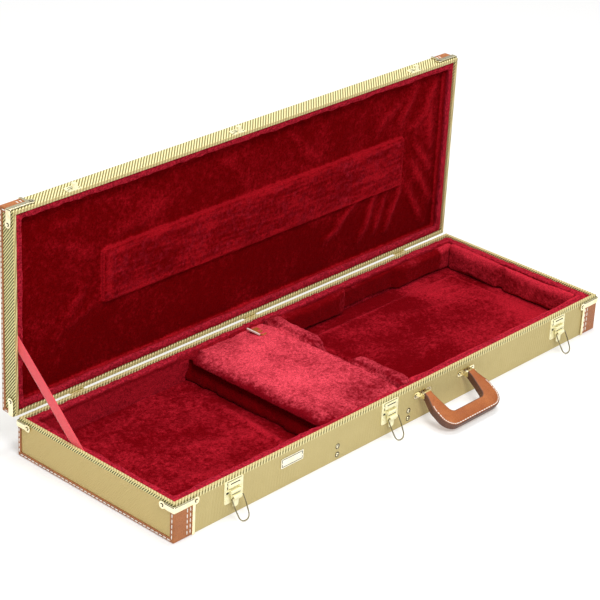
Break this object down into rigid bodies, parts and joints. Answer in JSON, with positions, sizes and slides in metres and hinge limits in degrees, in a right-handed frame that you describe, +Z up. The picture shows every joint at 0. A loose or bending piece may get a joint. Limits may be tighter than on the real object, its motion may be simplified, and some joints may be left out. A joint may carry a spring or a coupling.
{
  "type": "guitar case",
  "caption": "Rectangular tweed hard case for an electric guitar, lid open, with plush-lined compartments, pocket lid, neck cradle, draw latches, leather ends and a leather handle",
  "frame": {"origin": "centre of the tray's underside", "axes": "+X along the case with the body compartment at +X, -Y towards the latches and handle, +Z up; the lid stands open behind, at +Y"},
  "size_m": [1.0554, 0.465, 0.427],
  "materials": {
    "tweed_ply": "plywood covered in woven straw and olive tweed, lacquered",
    "leather": "smooth tan leather with pale stitching",
    "plush": "crimson plush over foam, short brushed pile",
    "brass": "polished pale brass plate",
    "pin_steel": "turned pin",
    "ribbon": "woven coral red ribbon"
  },
  "bodies": {
    "tray": {"tray_bottom_panel": "tweed_ply", "tray_front_wall": "tweed_ply", "tray_back_wall": "tweed_ply", "tray_left_wall": "tweed_ply", "tray_right_wall": "tweed_ply", "tray_leather_end_left": "leather", "tray_leather_end_right": "leather", "tray_corner_bracket_front_left": "brass", "tray_corner_bracket_front_right": "brass", "tray_corner_bracket_back_left": "brass", "tray_corner_bracket_back_right": "brass", "tray_side_lining": "plush", "tray_floor_pad": "plush", "bolster_back": "plush", "bolster_end": "plush", "bolster_front": "plush", "pocket_left_wall": "plush", "pocket_right_wall": "plush", "neck_cradle": "plush", "hinge_tray_leaf_1": "brass", "hinge_tray_leaf_2": "brass", "hinge_tray_leaf_3": "brass", "hinge_pin_1": "pin_steel", "hinge_pin_2": "pin_steel", "hinge_pin_3": "pin_steel", "latch_base_1": "brass", "latch_base_2": "brass", "latch_base_3": "brass", "handle_bracket_left": "brass", "handle_bracket_right": "brass", "nameplate": "brass", "lid_strap": "ribbon"},
    "lid": {"lid_top_panel": "tweed_ply", "lid_front_wall": "tweed_ply", "lid_back_wall": "tweed_ply", "lid_left_wall": "tweed_ply", "lid_right_wall": "tweed_ply", "lid_leather_end_left": "leather", "lid_leather_end_right": "leather", "lid_corner_bracket_front_left": "brass", "lid_corner_bracket_front_right": "brass", "lid_corner_bracket_back_left": "brass", "lid_corner_bracket_back_right": "brass", "lid_lining": "plush", "lid_neck_pad": "plush", "hinge_lid_leaf_1": "brass", "hinge_lid_leaf_2": "brass", "hinge_lid_leaf_3": "brass", "latch_catch_1": "brass", "latch_catch_2": "brass", "latch_catch_3": "brass"},
    "pocket_lid": {"pocket_lid": "plush", "pocket_pull_tab": "leather"},
    "handle": {"handle_grip": "leather"},
    "latch_lever_1": {"latch_lever_1": "brass"},
    "latch_bail_1": {"latch_bail_1": "brass"},
    "latch_lever_2": {"latch_lever_2": "brass"},
    "latch_bail_2": {"latch_bail_2": "brass"},
    "latch_lever_3": {"latch_lever_3": "brass"},
    "latch_bail_3": {"latch_bail_3": "brass"}
  },
  "joints": [
    {"name": "lid_hinge", "type": "hinge", "parent": "tray", "child": "lid", "pos_m": [0, 0.1767, 0.064], "axis": [-1, 0, 0], "range_deg": [-90, 0], "deforming": ["lid_strap"]},
    {"name": "pocket_lid_hinge", "type": "hinge", "parent": "tray", "child": "pocket_lid", "pos_m": [-0.1762, 0, 0.0526], "axis": [0, -1, 0], "range_deg": [0, 100]},
    {"name": "handle_swing", "type": "hinge", "parent": "tray", "child": "handle", "pos_m": [0.0975, -0.1848, 0.0465], "axis": [-1, 0, 0], "range_deg": [0, 100]},
    {"name": "lever_pivot_1", "type": "hinge", "parent": "tray", "child": "latch_lever_1", "pos_m": [-0.4, -0.1803, 0.044], "axis": [-1, 0, 0], "range_deg": [0, 105]},
    {"name": "bail_pivot_1", "type": "hinge", "parent": "latch_lever_1", "child": "latch_bail_1", "pos_m": [-0.4, -0.1838, 0.035], "axis": [1, 0, 0], "range_deg": [-155, 0]},
    {"name": "lever_pivot_2", "type": "hinge", "parent": "tray", "child": "latch_lever_2", "pos_m": [-0.041, -0.1803, 0.044], "axis": [-1, 0, 0], "range_deg": [0, 105]},
    {"name": "bail_pivot_2", "type": "hinge", "parent": "latch_lever_2", "child": "latch_bail_2", "pos_m": [-0.041, -0.1838, 0.035], "axis": [1, 0, 0], "range_deg": [-155, 0]},
    {"name": "lever_pivot_3", "type": "hinge", "parent": "tray", "child": "latch_lever_3", "pos_m": [0.409, -0.1803, 0.044], "axis": [-1, 0, 0], "range_deg": [0, 105]},
    {"name": "bail_pivot_3", "type": "hinge", "parent": "latch_lever_3", "child": "latch_bail_3", "pos_m": [0.409, -0.1838, 0.035], "axis": [1, 0, 0], "range_deg": [-155, 0]}
  ]
}
